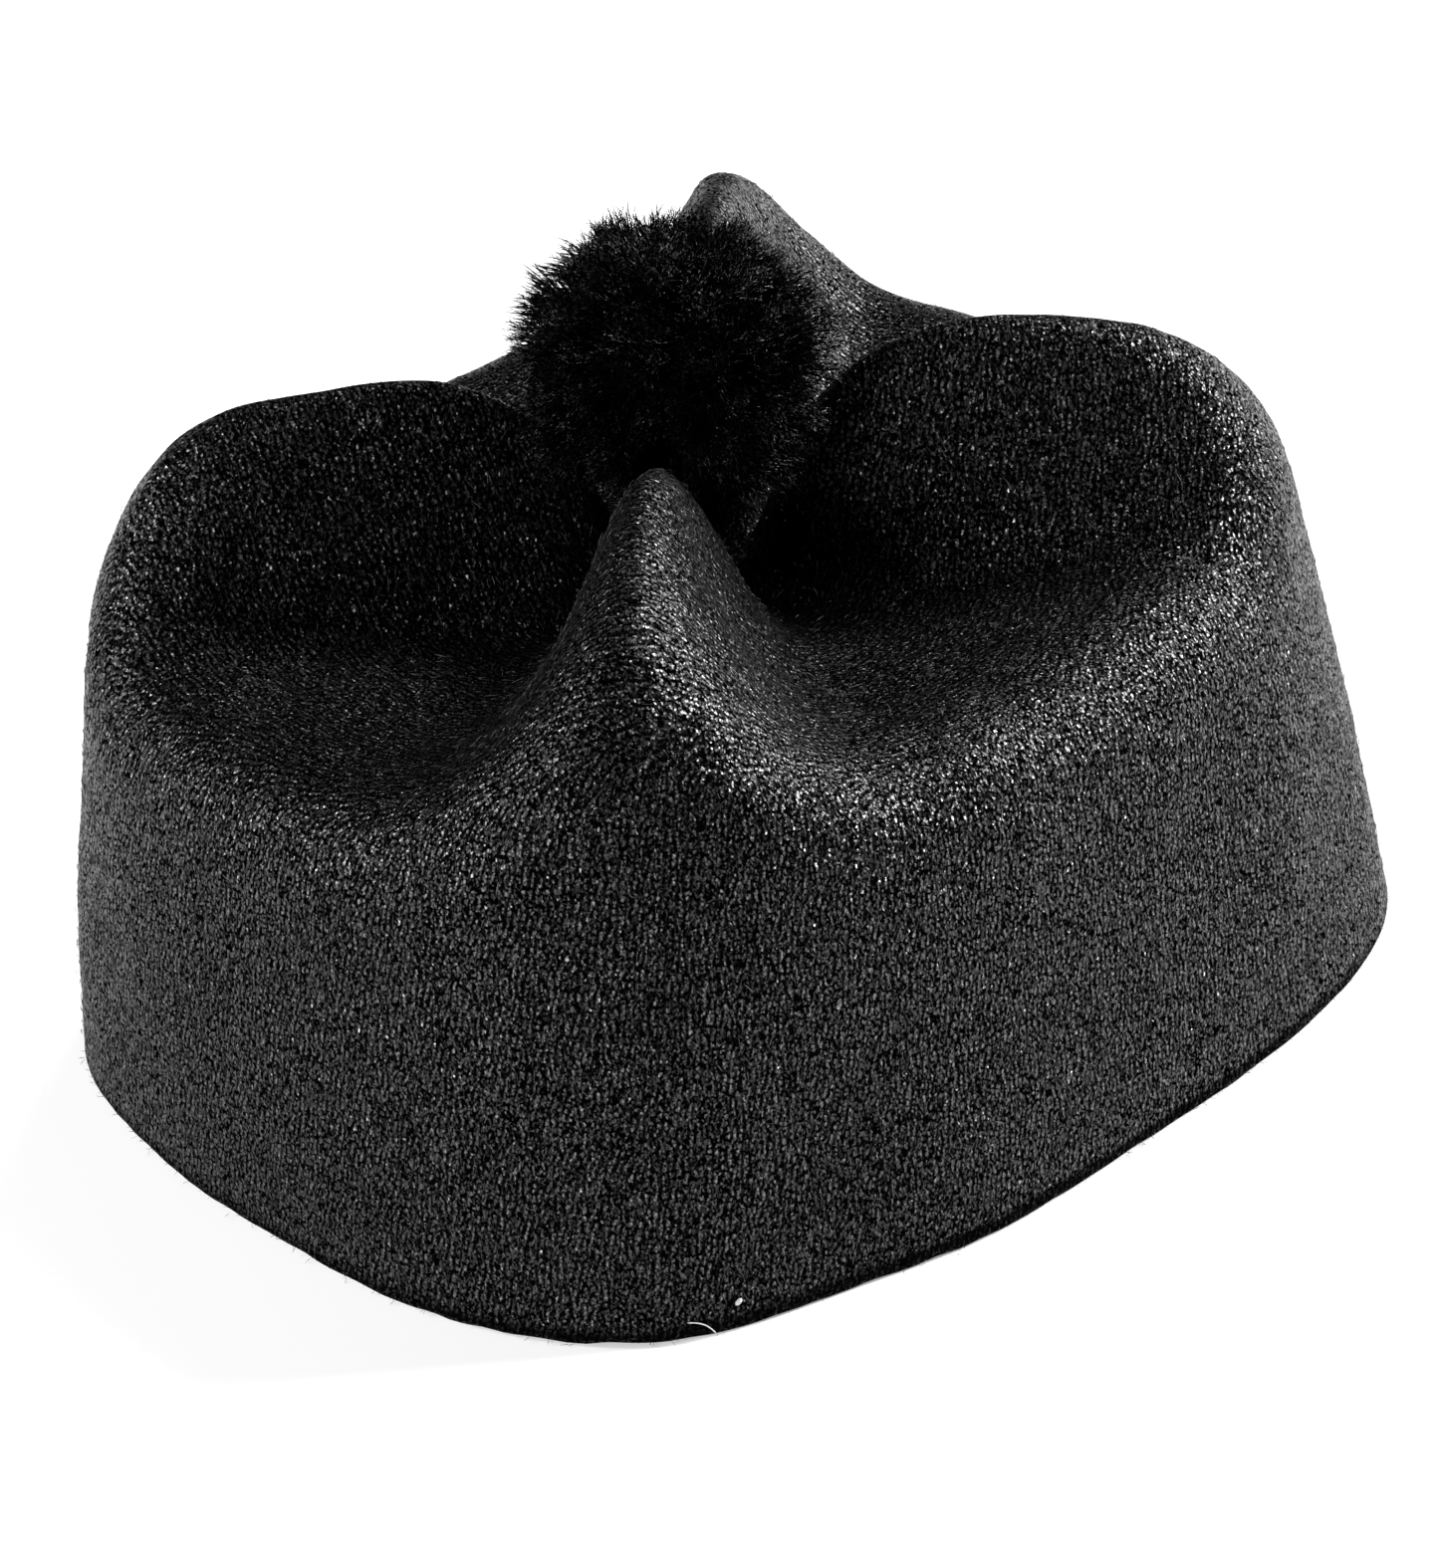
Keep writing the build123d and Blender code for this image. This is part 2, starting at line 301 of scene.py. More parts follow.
class Nodes:
    """Short way to add and link shader nodes."""

    def __init__(self, name):
        self.material = bpy.data.materials.new(name)
        self.material.use_nodes = True
        self.tree = self.material.node_tree
        self.tree.nodes.clear()
        self.place = self.add("ShaderNodeTexCoord").outputs["Object"]

    def join(self, value, socket):
        """Links a socket, or sets a plain value."""
        if isinstance(value, bpy.types.NodeSocket):
            self.tree.links.new(value, socket)
        else:
            socket.default_value = value

    def add(self, kind, inputs=None, **settings):
        node = self.tree.nodes.new(kind)
        for key, value in settings.items():
            setattr(node, key, value)
        for key, value in (inputs or {}).items():
            self.join(value, node.inputs[key])
        return node

    def stretch(self, x, y, z):
        """The place with each axis scaled."""
        return self.add("ShaderNodeMapping", {"Vector": self.place, "Scale": (x, y, z)}).outputs[0]

    def noise(self, size, detail, rough):
        """Noise whose lumps are about `size` mm across."""
        inputs = {"Vector": self.place, "Scale": 1 / (size * MM), "Detail": detail, "Roughness": rough}
        return self.add("ShaderNodeTexNoise", inputs).outputs["Fac"]

    def ramp(self, value, *stops):
        """Colour ramp through (position, grey) stops."""
        node = self.add("ShaderNodeValToRGB", {"Fac": value})
        while len(node.color_ramp.elements) < len(stops):
            node.color_ramp.elements.new(0.5)
        for element, (position, grey) in zip(node.color_ramp.elements, stops):
            element.position = position
            element.color = (grey, grey, grey, 1)
        return node.outputs["Color"]

    def mix(self, share, one, other):
        node = self.add("ShaderNodeMix", data_type="RGBA")
        self.join(share, node.inputs[0])
        self.join(one, node.inputs[6])
        self.join(other, node.inputs[7])
        return node.outputs[2]

    def math(self, operation, one, other=0.0):
        return self.add("ShaderNodeMath", {0: one, 1: other}, operation=operation).outputs[0]

    def vector(self, operation, one, other=(0, 0, 0), third=(0, 0, 0)):
        node = self.add("ShaderNodeVectorMath", {0: one, 1: other, 2: third}, operation=operation)
        return node.outputs[0]

    def bump(self, height, distance):
        """Bump from a height of 0 to 1, `distance` mm deep."""
        node = self.add("ShaderNodeBump", {"Height": height, "Distance": distance * MM})
        return node.outputs["Normal"]

    def finish(self, **inputs):
        """The material, from inputs of its shader with `_` for a space."""
        shader = self.add("ShaderNodeBsdfPrincipled")
        for key, value in inputs.items():
            self.join(value, shader.inputs[key.replace("_", " ")])
        self.add("ShaderNodeOutputMaterial", {0: shader.outputs[0]})
        return self.material


def felt_material():
    """Near-black needle felt: matted tufts of glossy fibres, each leaning its own way, that run
    with the pull of the mould, with painted shade blackening the gaps between them and rare pale
    specks. Painted shade darkens and dulls a band along the cut edge and the felt under the pompom."""
    n = Nodes("black_felt")
    grain = n.add("ShaderNodeAttribute", attribute_name="grain_across").outputs["Vector"]
    # This attribute marks where shade is painted: a band along the cut edge and the felt under the
    # pompom.
    painted_shade = n.add("ShaderNodeAttribute", attribute_name="painted_shade").outputs["Fac"]
    pull = n.add("ShaderNodeTexGabor", {"Vector": n.place}, gabor_type="3D")
    pull.inputs["Scale"].default_value = STREAKS_PER_METRE
    pull.inputs["Frequency"].default_value = 2.0
    pull.inputs["Anisotropy"].default_value = 0.9
    n.join(grain, pull.inputs[5])        # the 3D orientation
    warp = n.add("ShaderNodeTexNoise", {"Vector": n.place, "Scale": 2000.0, "Detail": 1.0})
    tall = n.stretch(1, 1, TUFT_STRETCH)
    warped = n.vector("MULTIPLY_ADD", warp.outputs["Color"], (TUFT_WARP,) * 3, tall)
    tufts = n.add("ShaderNodeTexVoronoi", {"Vector": warped, "Scale": TUFTS_PER_METRE}, feature="F1")
    luck = n.add("ShaderNodeTexWhiteNoise", {"Vector": tufts.outputs["Position"]}).outputs["Value"]
    lean = n.vector("SUBTRACT", tufts.outputs["Color"], (0.5, 0.5, 0.5))
    relief = n.noise(0.8, 2, 0.6)
    leaning = n.vector("MULTIPLY_ADD", lean, (TUFT_LEAN,) * 3, n.bump(relief, 0.2))
    facing = n.vector("NORMALIZE", leaning)
    # Painted shade: colour and gloss fall to black in the gaps between the tufts.
    body = n.ramp(tufts.outputs["Distance"], (0.1, 1.0), (0.36, 0.6), (0.6, 0.0))
    along = n.ramp(pull.outputs["Value"], (0.4, 0.08), (0.6, 1.0))
    shine = n.math("MULTIPLY", body, n.ramp(luck, (0.0, 0.25), (0.75, 0.55), (1.0, 1.0)))
    shine = n.math("MULTIPLY", shine, along)
    # Painted shade: colour and gloss are cut down along the cut edge and under the pompom.
    shine = n.math("MULTIPLY", shine, n.ramp(painted_shade, (0.0, 1.0), (1.0, 0.05)))
    colour = n.ramp(shine, (0.0, 0.0005), (0.3, 0.008), (0.9, 0.035))
    cells = n.add("ShaderNodeTexVoronoi", {"Vector": n.place, "Scale": SPECKS_PER_METRE}, feature="F1")
    pick = n.add("ShaderNodeSeparateColor", {"Color": cells.outputs["Color"]}).outputs[0]
    rare = n.math("GREATER_THAN", pick, SPECK_SHARE)
    near = n.math("LESS_THAN", cells.outputs["Distance"], SPECK_SIZE)
    colour = n.mix(n.math("MULTIPLY", rare, near), colour, (0.3, 0.3, 0.3, 1))
    # Painted shade: the colour goes near black along the cut edge and under the pompom.
    colour = n.mix(n.math("MULTIPLY", painted_shade, 0.8), colour, (0.001, 0.001, 0.001, 1))
    return n.finish(
        Base_Color=colour, Normal=facing, Roughness=0.36, IOR=1.7,
        Specular_IOR_Level=n.math("MULTIPLY", shine, 1.6),
    )


def fibre_material():
    """Loose felt fibres: black to dark grey, a few pale."""
    n = Nodes("felt_fibre")
    shade = n.noise(4, 1, 0.5)
    colour = n.ramp(shade, (0.35, 0.004), (0.6, 0.03), (0.75, 0.12))
    return n.finish(Base_Color=colour, Roughness=0.6, Specular_IOR_Level=0.5)


def lint_material():
    """Pale lint, a little uneven."""
    n = Nodes("pale_lint")
    colour = n.ramp(n.noise(0.4, 2, 0.5), (0.3, 0.45), (0.7, 0.75))
    return n.finish(Base_Color=colour, Roughness=0.8)


def yarn_material():
    """Black cut yarn, nearly matt, with clusters of strands that glint."""
    n = Nodes("black_yarn")
    shade = n.noise(3, 3, 0.6)
    colour = n.ramp(shade, (0.3, 0.0003), (0.6, 0.0012), (0.8, 0.006))
    cluster = n.ramp(n.noise(8, 2, 0.5), (0.45, 0.15), (0.6, 1.0))
    glint = n.math("MULTIPLY", cluster, n.ramp(n.noise(0.6, 2, 0.6), (0.54, 0.0), (0.64, 1.0)))
    level = n.math("MULTIPLY", glint, 1.6)
    return n.finish(Base_Color=colour, Roughness=0.4, Specular_IOR_Level=level)


def shade_material():
    """The yarn packed deep inside the ball, where hardly any light gets: a darker, duller copy of the
    yarn, with that deep shade painted into its colour.
    """
    n = Nodes("yarn_shade")
    colour = n.ramp(n.noise(1.0, 2, 0.5), (0.3, 0.0003), (0.7, 0.002))
    return n.finish(Base_Color=colour, Roughness=0.9, Specular_IOR_Level=0.05)


def thread_material():
    """Black polyester sewing thread: smoother than the yarn."""
    n = Nodes("black_thread")
    shade = n.noise(0.2, 2, 0.5)
    colour = n.ramp(shade, (0.3, 0.006), (0.7, 0.03))
    facing = n.bump(shade, 0.05)
    return n.finish(Base_Color=colour, Normal=facing, Roughness=0.45, Specular_IOR_Level=0.5)


FELT_BLACK = felt_material()
FELT_FIBRE = fibre_material()
PALE_LINT = lint_material()
YARN_BLACK = yarn_material()
YARN_SHADE = shade_material()
THREAD_BLACK = thread_material()


# ---- crown ----
COLUMNS = 440
OUTER_ROWS, INNER_ROWS, EDGE_ROWS = 130, 60, 7
LOW_CLIMB, HIGH_CLIMB = radians(1.0), radians(85.5)
EDGE_WOBBLE = 0.12           # unevenness of the cut edge
FIN_CROWD = 2.2              # how much closer the mesh's columns stand across the fins
EDGE_SHADE_HEIGHT, EDGE_SHADE_FADE = 3.3, 0.7          # the painted shade band along the cut edge ends this far up, over the second
POMPOM_SHADE, POMPOM_SHADE_RADIUS = 0.9, 27.0        # how strongly shade is painted on the felt under the pompom, and how far out


def column_angles():
    """Directions round the crown, closer together across the fins."""
    fine = np.linspace(0, 2 * pi, 4001)
    crowd = np.ones(4000)
    for fin in (FIN_ANGLE, pi - FIN_ANGLE, pi + FIN_ANGLE, -FIN_ANGLE):
        away = np.abs((fine[:-1] - fin + pi) % (2 * pi) - pi)
        crowd += FIN_CROWD * np.exp(-((away / 0.2) ** 2))
    share = np.concatenate([[0], np.cumsum(crowd)])
    return np.interp(np.arange(COLUMNS) / COLUMNS, share / share[-1], fine)


def grain_across(p):
    """Level direction square to the fibres: round the walls they stand upright, and over the
    roof they run round the middle and up the fins' sides."""
    radial = unit(p * (1, 1, 0))
    round_wall = np.stack([-radial[..., 1], radial[..., 0], radial[..., 2]], -1)
    angle = np.arctan2(p[..., 1], p[..., 0])
    over_wall = np.hypot(p[..., 0], p[..., 1]) - outline_radius(angle)
    over_roof = p[..., 2] - roof_height(p[..., 0], p[..., 1])
    share = np.clip((over_roof - over_wall + 2) / 16, 0, 1)[..., None]
    return unit(round_wall * (1 - share) + radial * share)


# Where the rim has settled in or out: direction and width in degrees, and distance.
SETTLING = ((-37, 12, -3.3), (-112, 9, -1.6), (-78, 14, 1.2), (48, 10, 0.7))
SETTLED_HEIGHT = 38.0        # the walls keep their shape above this
# Where the felt has sunk in: middle, radius and depth.
DENTS = (
    ((-37.5, 64, 88), 14, 1.8), ((-36.6, 48, 104.5), 15, 1.1), ((-27.7, -38, 105.5), 14, 1.3),
    ((-53.8, -68, 88), 15, 1.7),
)


def sunk(p):
    """How far the felt has sunk at points near it."""
    return sum(
        depth * np.exp(-(np.linalg.norm(p - middle, axis=-1) / radius) ** 2)
        for middle, radius, depth in DENTS
    )


def settled(p):
    """Moves points of the felt the way it has settled and sunk."""
    angle = np.degrees(np.arctan2(p[..., 1], p[..., 0]))
    push = np.zeros(angle.shape)
    for middle, width, distance in SETTLING:
        away = (angle - middle + 180) % 360 - 180
        push += distance * np.exp(-((away / width) ** 2))
    push *= np.exp(-((p[..., 2] / SETTLED_HEIGHT) ** 2))
    p = p + unit(p * (1, 1, 0)) * push[..., None]
    return p - unit(gradient(p)) * sunk(p)[..., None]


def crown():
    """The felt: outer face, rounded cut edge and inner face in one closed mesh. Gives the
    outer face's rows of points."""
    angles = column_angles()[None, :]
    down = np.linspace(HIGH_CLIMB, LOW_CLIMB, OUTER_ROWS)[:, None]
    up = np.linspace(LOW_CLIMB, HIGH_CLIMB, INNER_ROWS)[:, None]
    outer = settled(surface(angles, down, 0))
    inner = settled(surface(angles, up, FELT))
    lumps = 0.16 * wander(outer, 26, 1) + 0.06 * wander(outer, 8, 2)
    lumps *= np.clip(outer[..., 2] / 10, 0, 1)
    outer = outer + unit(gradient(outer)) * lumps[..., None]
    inner = inner + unit(gradient(inner)) * (0.12 * wander(inner, 18, 3))[..., None]
    middle = (outer[-1] + inner[0]) / 2
    half = (outer[-1] - inner[0]) / 2
    edge = []
    for i in range(1, EDGE_ROWS + 1):
        t = pi * i / (EDGE_ROWS + 1)
        p = middle + half * cos(t)
        p[:, 2] = middle[:, 2] * (1 - sin(t)) + half[:, 2] * cos(t)
        p[:, 2] += EDGE_WOBBLE * np.maximum(1 + wander(p, 7, 4), 0) * sin(t)
        edge.append(p)
    rows = np.concatenate([outer, np.array(edge), inner])
    flat = rows.reshape(-1, 3)
    faces = [face[::-1] for face in grid_faces(len(rows), COLUMNS)]
    top, bottom = len(flat), len(flat) + 1
    last = (len(rows) - 1) * COLUMNS
    for j in range(COLUMNS):
        k = (j + 1) % COLUMNS
        faces.append((top, j, k))
        faces.append((bottom, last + k, last + j))
    flat = np.concatenate([flat, [[0, 0, PAD_HEIGHT], [0, 0, PAD_HEIGHT - FELT]]])
    piece = place_mesh("felt_crown", leaned(flat), faces, "crown", FELT_BLACK)
    across = piece.data.attributes.new("grain_across", "FLOAT_VECTOR", "POINT")
    across.data.foreach_set("vector", grain_across(flat + (1e-6, 0, 0)).astype(np.float32).ravel())
    # Painted shade: a dark, dull band along the cut edge and a dark, dull patch under the pompom, kept
    # in a point attribute for the felt material.
    cut = np.clip((EDGE_SHADE_HEIGHT - flat[:, 2]) / EDGE_SHADE_FADE, 0, 1)
    off_pad = np.linalg.norm(flat - (0, 0, PAD_HEIGHT), axis=1)
    painted_shade = np.maximum(cut, POMPOM_SHADE * np.exp(-((off_pad / POMPOM_SHADE_RADIUS) ** 6)))
    mark = piece.data.attributes.new("painted_shade", "FLOAT", "POINT")
    mark.data.foreach_set("value", painted_shade.astype(np.float32))
    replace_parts(piece, "crown_shell")
    return outer


felt_rows = crown()


# ---- loose fibres on the felt ----
FIBRES = 15500
RIM_FIBRES = 500
FLOOR_ROOM = 0.08            # the rim's fibres stay this far above the floor


def spots_on(rows, count, rng):
    """Points spread evenly over a surface given as rows of points."""
    a, b, c = rows[:-1], np.roll(rows[:-1], -1, 1), rows[1:]
    area = np.linalg.norm(np.cross(b - a, c - a), axis=-1).ravel()
    pick = rng.choice(area.size, count, p=area / area.sum())
    u, v = rng.uniform(size=(2, count, 1))
    one, beside, below = (side.reshape(-1, 3)[pick] for side in (a, b, c))
    return one + (beside - one) * u + (below - one) * v


def felt_fibres():
    """Short fibres that lie along the grain above the cut edge's band of painted shade, most of
    them flat and a few standing up."""
    rng = np.random.default_rng(21)
    root = spots_on(felt_rows, FIBRES, rng)
    out = unit(gradient(root))
    along = unit(np.cross(out, grain_across(root)))
    side = np.cross(out, along)
    swing = rng.normal(size=FIBRES)[:, None] * 0.5
    along = along * np.cos(swing) + side * np.sin(swing)
    side = np.cross(out, along)
    length = rng.lognormal(0.35, 0.4, FIBRES)[:, None, None]
    lift = rng.gamma(1.2, 0.12, FIBRES)[:, None, None]
    curl = rng.normal(size=FIBRES)[:, None, None] * 0.25
    steps = np.linspace(0, 1, 4)[None, :, None]
    paths = root[:, None] + along[:, None] * length * (steps - 0.5)
    paths = paths + out[:, None] * (lift * np.sin(steps * pi * 0.8) - 0.03)
    paths = paths + side[:, None] * curl * length * steps * steps
    radii = np.repeat(rng.uniform(0.03, 0.075, FIBRES)[:, None], 4, 1)
    kept = paths[..., 2].min(axis=1) > EDGE_SHADE_HEIGHT
    paths, radii = paths[kept], radii[kept]
    points, faces = tubes(leaned(paths), radii, 3)
    return place_mesh("felt_fibres", points, faces, "crown", FELT_FIBRE)


def rim_fibres():
    """Fibre ends that stick out of the raw cut edge, none of them below it."""
    rng = np.random.default_rng(22)
    angle = rng.uniform(0, 2 * pi, RIM_FIBRES)
    climb = np.full(RIM_FIBRES, LOW_CLIMB) * rng.uniform(0.2, 1.2, RIM_FIBRES)
    root = settled(surface(angle, climb, 0))
    radial = unit(root * (1, 1, 0))
    root = root - radial * rng.uniform(0.1, 0.8, RIM_FIBRES)[:, None]
    round_wall = np.stack([-radial[:, 1], radial[:, 0], radial[:, 2]], -1)
    heading = radial * rng.uniform(0.3, 1, (RIM_FIBRES, 1))
    heading = unit(heading + round_wall * rng.normal(size=(RIM_FIBRES, 1)) * 0.7)
    length = rng.uniform(0.8, 1.9, RIM_FIBRES)[:, None, None]
    steps = np.linspace(0, 1, 4)[None, :, None]
    paths = root[:, None] + heading[:, None] * length * steps
    paths[..., 2] += (rng.normal(size=RIM_FIBRES)[:, None] * 0.4) * steps[..., 0] ** 2
    paths[..., 2] = np.maximum(paths[..., 2], FLOOR_ROOM)
    radii = np.repeat(rng.uniform(0.025, 0.05, RIM_FIBRES)[:, None], 4, 1)
    points, faces = tubes(leaned(paths), radii, 3)
    return place_mesh("rim_fibres", points, faces, "crown", FELT_FIBRE)


felt_fibres()
rim_fibres()


def lint():
    """A crumb of lint and a curled pale fibre, low on one corner. Each has its direction
    round the crown in degrees, and its height."""
    spots = []
    for azimuth, height in ((-46.3, 4.9), (-49.3, 2.3)):
        turn = radians(azimuth)
        climb = np.array(height / (outline_radius(turn) + 1e-9))
        spot = settled(surface(np.array(turn), np.arctan(climb), 0))
        out = unit(gradient(spot))
        spots.append((spot, out, unit(np.cross((0, 0, 1), out))))
    (crumb, out, side), (curl, curl_out, curl_side) = spots
    up = np.cross(out, side)
    run = np.linspace(-0.7, 0.7, 9)[:, None]
    crumb_path = crumb + out * 0.3 + (side * 0.75 + up * 0.65) * run
    crumb_radii = 0.34 * np.sqrt(np.maximum(1 - (run[:, 0] / 0.72) ** 2, 0)) + 0.02
    t = np.linspace(0, 1, 16)[:, None]
    curl_path = curl + curl_out * (0.15 + 0.3 * np.sin(t * pi))
    curl_path = curl_path + curl_side * (-2.4 + 4.2 * t) + np.array([0, 0, 1]) * (0.9 - 2.6 * t**3)
    curl_path[:, 2] = np.maximum(curl_path[:, 2], 0.3)
    points, faces = tubes(leaned(crumb_path)[None], crumb_radii[None], 8)
    more, loops = tubes(leaned(curl_path)[None], np.full((1, 16), 0.09), 6)
    faces += [tuple(v + len(points) for v in loop) for loop in loops]
    return place_mesh("lint", np.concatenate([points, more]), faces, "crown", PALE_LINT)


lint()


# ---- patch, stitch and knot under the roof ----
SPOT = np.array([CROWN_LEAN * PAD_HEIGHT, 0, 0])     # below the middle of the pad
THREAD = 1.2
HOLE_REACH = 2.2             # from the pad's middle to each stitch hole
PATCH_SIDES = 96
PATCH_POWER = 4.5            # how square the patch is


def patch():
    """Cut scrap of felt with softened edges, dimpled where the thread goes through."""
    low, high = (np.array(corner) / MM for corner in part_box("backing_patch"))
    middle, half = (low + high) / 2, (high - low) / 2
    turn = np.linspace(0, 2 * pi, PATCH_SIDES, endpoint=False)
    outline = np.abs(np.cos(turn)) ** PATCH_POWER + np.abs(np.sin(turn)) ** PATCH_POWER
    outline = outline ** (-1 / PATCH_POWER)
    outline = outline * (1 + 0.012 * np.sin(turn * 5 + 1) + 0.008 * np.sin(turn * 11))
    rows = []
    profile = [(r, 1) for r in np.linspace(0.06, 0.9, 12)]
    profile += [(0.9 + 0.1 * sin(a), cos(a)) for a in np.linspace(0.35, pi - 0.35, 7)]
    profile += [(r, -1) for r in np.linspace(0.9, 0.06, 12)]
    for reach, level in profile:
        x, y = outline * reach * half[0] * np.cos(turn), outline * reach * half[1] * np.sin(turn)
        hole = np.minimum(np.hypot(x, y - HOLE_REACH), np.hypot(x, y + HOLE_REACH))
        z = level * half[2] * (1 - 0.35 * np.exp(-((hole / 1.1) ** 2)))
        rows.append(np.stack([x, y, z], -1) + middle)
    flat = np.concatenate(rows)
    faces = [face[::-1] for face in grid_faces(len(rows), PATCH_SIDES)]
    faces += [tuple(range(PATCH_SIDES)), tuple(range(len(flat) - 1, len(flat) - PATCH_SIDES - 1, -1))]
    piece = place_mesh("backing_patch_felt", flat, faces, "crown", FELT_BLACK)
    across = piece.data.attributes.new("grain_across", "FLOAT_VECTOR", "POINT")
    across.data.foreach_set("vector", [1.0, 0.3, 0.0] * len(flat))
    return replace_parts(piece, "backing_patch")


def stitch():
    """The stitch across the pad, down both holes and in under the patch."""
    low_corner, high_corner = (np.array(corner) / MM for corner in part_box("anchor_stitch"))
    low, high = low_corner[2] + THREAD / 2, high_corner[2] - THREAD / 2
    middle = (low + high) / 2
    ends = [(1.3, low), (HOLE_REACH, low), (HOLE_REACH, middle), (HOLE_REACH, high), (0, high)]
    corners = [(0, -y, z) for y, z in ends] + [(0, y, z) for y, z in ends[::-1]][1:]
    strands = [twisted(rounded(corners, 3) + SPOT, 3, 0.3, 0.31, 2.2)]
    return thread_piece("stitch_thread", strands, "crown", "anchor_stitch")


def knot():
    """Barrel of wraps under the patch, and its two cut ends."""
    low, high = (np.array(corner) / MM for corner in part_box("anchor_knot"))
    middle = np.array([(low[0] + high[0]) / 2, (low[1] + high[1]) / 2, high[2] - 1.3])
    t = np.linspace(0, 1, 90)[:, None]
    turn = t * 3.4 * 2 * pi
    wraps = np.concatenate([(t - 0.5) * 3.6, 0.72 * np.cos(turn), 0.72 * np.sin(turn)], 1)
    strands = [twisted(wraps + middle, 3, 0.27, 0.29, 2.2)]
    for side in (1, -1):
        tail = [(1.0, 0, 0), (3.4, 0.2, -0.1), (6.2, 0.8, -0.8), (8.2, 1.1, -1.8), (9.0, 1.4, -2.5)]
        tail = rounded(np.array(tail) * (side, side, 1), 3)
        strands.append(twisted(tail + middle, 3, 0.27, 0.29, 2.2, fray=1.1))
    return thread_piece("knot_thread", strands, "crown", "anchor_knot")


patch()
stitch()
knot()


# ---- neck and tie ----
def from_root(points):
    """Places points given above the pompom's root, tipped as the crown leans."""
    root = Vector(joints["pompom_tilt_x"]["pos_m"]) / MM
    tip = np.arctan(CROWN_LEAN)
    turn = np.array([[cos(tip), 0, sin(tip)], [0, 1, 0], [-sin(tip), 0, cos(tip)]])
    return np.asarray(points, float) @ turn.T + np.array(root)


NECK_LENGTH = 3.6
PILE_RISE = 36.9             # from the root to the middle of the tie
TIE_RING = 3.4


def neck():
    """The thread's twisted ends between the stitch and the yarn."""
    line = from_root([(0, 0, z) for z in np.linspace(-0.5, NECK_LENGTH + 0.1, 12)])
    return thread_piece("neck_thread", [twisted(line, 4, 0.4, 0.56, 2.6)], "neck", "thread_neck")


def tie():
    """Loop that gathers the yarn in its middle, and the thread from it down to the neck."""
    turn = np.linspace(0, 2 * pi * 1.02, 60)
    loop = np.stack([TIE_RING * np.sin(turn), 0 * turn, PILE_RISE - TIE_RING * np.cos(turn)], -1)
    stem = [(0, 0, z) for z in np.linspace(NECK_LENGTH + 0.3, PILE_RISE - TIE_RING, 30)]
    strands = [twisted(from_root(loop), 3, 0.4, 0.4, 3.0)]
    strands.append(twisted(from_root(stem), 4, 0.4, 0.56, 2.6))
    return thread_piece("tie_thread", strands, "pompom", "pompom_tie")


neck()
tie()


# ---- viewing angle, in degrees and mm; the lens and sensor are a camera's, in mm ----
VIEW_TURN = radians(-44.7368)
VIEW_CLIMB = radians(30.768)
VIEW_ROLL = radians(2.7486)
VIEW_DISTANCE = 1108.76
VIEW_TARGET = Vector((-2.967, 0, 50))
VIEW_OFFSET = (-0.257, -15.191)
SENSOR = 36.0
LENS = 166.26
AWAY = Vector((-cos(VIEW_TURN), -sin(VIEW_TURN), 0))
BACK = Vector((cos(VIEW_CLIMB) * cos(VIEW_TURN), cos(VIEW_CLIMB) * sin(VIEW_TURN), sin(VIEW_CLIMB)))
RIGHT = Vector((-sin(VIEW_TURN), cos(VIEW_TURN), 0))
UP = BACK.cross(RIGHT)


# ---- pompom ----
TUFTS = 820
TUFT_FIBRES = 20
HAIRS = 2200
LEAST_ROOM = 0.9             # how far the yarn stays from the felt at every tilt
PILE_FLATTEN = 0.93          # the ball is a little lower than it is wide
YARN_SAG = 1.3               # the ball hangs this far below the middle of its solid
YARN_REACH = 22.4            # mean half width of the ball of yarn
pile_low, pile_high = (np.array(corner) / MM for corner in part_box("pompom_pile"))
PILE_RADIUS = (pile_high[1] - pile_low[1]) / 2
PILE_CENTRE = np.array([(pile_high[0] + pile_low[0]) / 2, 0, pile_high[2] - PILE_RADIUS - YARN_SAG])
# Lobes of the ball: their directions to the right, up and towards the viewer, and heights.
LOBES = (
    (-0.46, 0.86, 0.10, 2.6), (-0.95, 0.15, 0.10, 3.0), (-0.72, -0.62, 0.30, 4.2),
    (0.42, -0.88, 0.15, 6.5), (0.95, 0.10, 0.15, 2.8), (0.35, 0.93, 0.0, 0.8),
    (-0.08, 0.97, 0.2, -1.8), (0.0, -0.85, 0.5, 2.5), (0.1, 0.3, 0.95, 1.5),
    (0.0, -0.86, -0.51, 11.0),
)
LOBE_WIDTH = 0.07
CORE_DEPTH = 8.5             # from the strands' ends to the inner part
CORE_ROOM = 1.2              # the inner part stays this much further from the felt
CORE_TURNS, CORE_CLIMBS = 64, 34


def tilted_poses():
    """The pompom's placings at rest and at its tilt limits, as matrices in mm."""
    poses = []
    for share_x in (-1, 0, 1):
        for share_y in (-1, 0, 1):
            pose = Matrix.Identity(4)
            for name, share in (("pompom_tilt_x", share_x), ("pompom_tilt_y", share_y)):
                joint = joints[name]
                pivot = Vector(joint["pos_m"]) / MM
                tilt = radians(joint["range_deg"][1]) * share
                turn = Matrix.Rotation(tilt, 4, Vector(joint["axis"]))
                pose = pose @ Matrix.Translation(pivot) @ turn @ Matrix.Translation(-pivot)
            poses.append(np.array(pose))
    return poses


def clearance(p):
    """How far points stay from the crown over all tilts, roughly, in mm."""
    least = np.full(p.shape[:-1], 1e9)
    for pose in tilted_poses():
        q = upright(p @ pose[:3, :3].T + pose[:3, 3])
        away = outside(q) / np.maximum(np.linalg.norm(gradient(q), axis=-1), 1)
        least = np.minimum(least, away + sunk(q))
    return least


